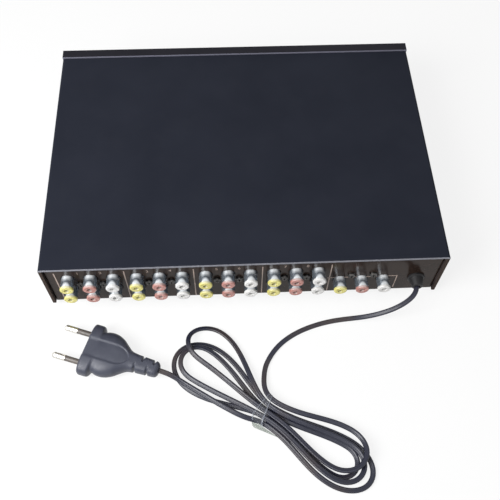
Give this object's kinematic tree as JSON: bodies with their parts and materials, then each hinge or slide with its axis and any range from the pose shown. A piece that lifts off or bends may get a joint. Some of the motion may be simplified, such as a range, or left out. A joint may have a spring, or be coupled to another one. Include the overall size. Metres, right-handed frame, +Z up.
{
  "type": "audio video splitter",
  "caption": "Flat sheet-metal audio video splitter box with rows of phono jacks along its rear panel, a power button in front and a tied mains cord with a flat plug.",
  "frame": {"origin": "centre of the case's plan at the underside of the feet, over the body without its cord", "axes": "+Z up, +Y towards the rear panel with the jacks, +X towards the end of the jack rows away from the cord"},
  "size_m": [0.2538, 0.3129, 0.0485],
  "materials": {
    "cover_black": "matte powder coat",
    "chassis_black": "matte powder coat",
    "panel_black": "satin black",
    "fascia_gloss": "glossy dark sheet",
    "foot_rubber": "matte",
    "screw_steel": "zinc plated",
    "screw_black": "blackened",
    "board_green": "solder mask",
    "spacer_brass": "nickel free, plain",
    "housing_black": "moulded",
    "shell_nickel": "nickel plated",
    "insert_yellow": "moulded",
    "insert_red": "moulded",
    "insert_white": "moulded",
    "contact_brass": "plated",
    "chip_black": "moulded",
    "capacitor_blue": "shrink sleeve",
    "capacitor_black": "shrink sleeve",
    "sink_aluminium": "extruded",
    "header_white": "moulded",
    "core_steel": "varnished laminations",
    "coil_tape": "polyester tape",
    "strap_steel": "zinc plated",
    "switch_black": "moulded",
    "plunger_white": "moulded",
    "button_grey": "satin",
    "light_green": "diffused lens",
    "wire_brown": "insulation",
    "wire_yellow": "insulation",
    "wire_red": "insulation",
    "gland_black": "moulded",
    "cord_black": "soft vinyl",
    "tie_clear": "clear film",
    "plug_black": "moulded vinyl",
    "pin_nickel": "nickel plated",
    "sleeve_black": "moulded"
  },
  "bodies": {
    "case": {"base_chassis": "chassis_black", "top_cover": "cover_black", "front_panel": "panel_black", "rear_panel": "chassis_black", "rear_fascia": "fascia_gloss", "rubber_feet": "foot_rubber", "foot_screws": "screw_steel", "cover_screws": "screw_black", "front_panel_screws": "screw_steel", "jack_screws": "screw_black", "main_board": "board_green", "board_spacers": "spacer_brass", "board_screws": "screw_steel", "output_housing_1": "housing_black", "output_housing_2": "housing_black", "output_housing_3": "housing_black", "output_housing_4": "housing_black", "input_housing": "housing_black", "jack_shells": "shell_nickel", "jack_inserts_yellow": "insert_yellow", "jack_inserts_red": "insert_red", "jack_inserts_white": "insert_white", "jack_contacts": "contact_brass", "amplifier_chips": "chip_black", "chip_resistors": "chip_black", "signal_capacitors": "capacitor_blue", "filter_capacitors": "capacitor_black", "rectifier_diodes": "chip_black", "voltage_regulator": "chip_black", "heat_sink": "sink_aluminium", "wire_headers": "header_white", "transformer_core": "core_steel", "transformer_coil": "coil_tape", "transformer_strap": "strap_steel", "transformer_screws": "screw_steel", "switch_body": "switch_black", "switch_screws": "screw_steel", "power_light": "light_green", "mains_wires": "wire_brown", "secondary_wires": "wire_yellow", "light_wires": "wire_red", "cord_gland": "gland_black", "cord_lead": "cord_black", "cord_hank": "cord_black", "cord_tie": "tie_clear", "plug_body": "plug_black", "plug_pins": "pin_nickel", "plug_pin_sleeves": "sleeve_black"},
    "button": {"switch_plunger": "plunger_white", "button_cap": "button_grey"}
  },
  "joints": [
    {"name": "power_button", "type": "slide", "parent": "case", "child": "button", "axis": [0, 1, 0], "range_m": [0, 0.003], "stiffness_N_per_m": 400}
  ]
}
